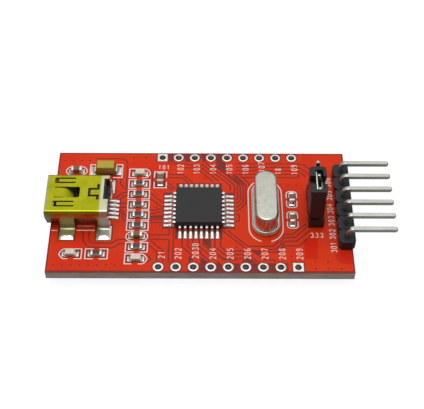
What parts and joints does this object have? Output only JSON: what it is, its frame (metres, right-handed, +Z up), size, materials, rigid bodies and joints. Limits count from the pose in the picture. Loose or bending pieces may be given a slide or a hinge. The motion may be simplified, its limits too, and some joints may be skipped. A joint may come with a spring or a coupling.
{
  "type": "usb serial adapter board",
  "caption": "Populated red circuit board with a mini USB receptacle, controller chip, crystal, indicator lamps, bent pin header, jumper cap and two rows of edge holes.",
  "frame": {"origin": "centre of the board's underside, which is the lower face of the bottom solder mask", "axes": "+X along the board towards the bent pin header, +Y towards the edge hole row whose first pad is square, +Z up out of the side with the parts"},
  "size_m": [0.0515, 0.023, 0.0115],
  "materials": {
    "laminate": "cut glass fibre edge",
    "copper": "rolled foil",
    "solder_mask": "semi gloss lacquer",
    "white_ink": "printed ink",
    "tinned_copper": "hot tinned",
    "mould_compound": "fine matt",
    "tinned_lead": "tinned",
    "silicon": "polished",
    "crystal_steel": "satin nickel plate",
    "seal_glass": "fused glass bead",
    "spring_bronze": "tinned spring bronze",
    "quartz": "polished",
    "yellow_plated_steel": "yellow passivated sheet",
    "connector_plastic": "moulded",
    "gilded_contact": "thin gilding",
    "mustard_resin": "moulded resin",
    "tantalum": "sintered",
    "alumina": "fired",
    "black_glaze": "glass glaze",
    "brown_ceramic": "fired",
    "lamp_base": "resin base",
    "milky_resin": "clear to milky resin",
    "header_plastic": "moulded",
    "cap_plastic": "moulded",
    "tinned_pin": "drawn and tinned",
    "solder": "reflowed"
  },
  "bodies": {
    "board": {"pcb_laminate": "laminate", "copper_foil_top": "copper", "copper_foil_bottom": "copper", "solder_mask_top": "solder_mask", "solder_mask_bottom": "solder_mask", "silkscreen_top": "white_ink", "annular_barrels": "tinned_copper", "via_barrels": "copper", "smd_pads": "tinned_copper", "ic_body": "mould_compound", "ic_leads": "tinned_lead", "ic_die": "silicon", "ic_die_paddle": "copper", "crystal_can": "crystal_steel", "crystal_base": "crystal_steel", "crystal_seals": "seal_glass", "crystal_leads": "tinned_lead", "crystal_clips": "spring_bronze", "crystal_blank": "quartz", "usb_shell": "yellow_plated_steel", "usb_insulator": "connector_plastic", "usb_contacts": "gilded_contact", "tantalum_body": "mustard_resin", "tantalum_terminals": "tinned_lead", "tantalum_slug": "tantalum", "resistor_bodies": "alumina", "resistor_glaze": "black_glaze", "resistor_terminations": "tinned_lead", "capacitor_bodies": "brown_ceramic", "capacitor_terminations": "tinned_lead", "led_bases": "lamp_base", "led_lenses": "milky_resin", "led_terminals": "gilded_contact", "led_dies": "silicon", "header_housing": "header_plastic", "header_pins": "tinned_pin", "jumper_header_housing": "header_plastic", "jumper_header_pins": "tinned_pin", "solder_fillets": "solder", "solder_joints": "solder"},
    "jumper_cap": {"jumper_cap_housing": "cap_plastic", "jumper_cap_contact": "spring_bronze"}
  },
  "joints": [
    {"name": "jumper_cap_pull", "type": "slide", "parent": "board", "child": "jumper_cap", "axis": [0, 0, 1], "range_m": [0, 0.007]}
  ]
}
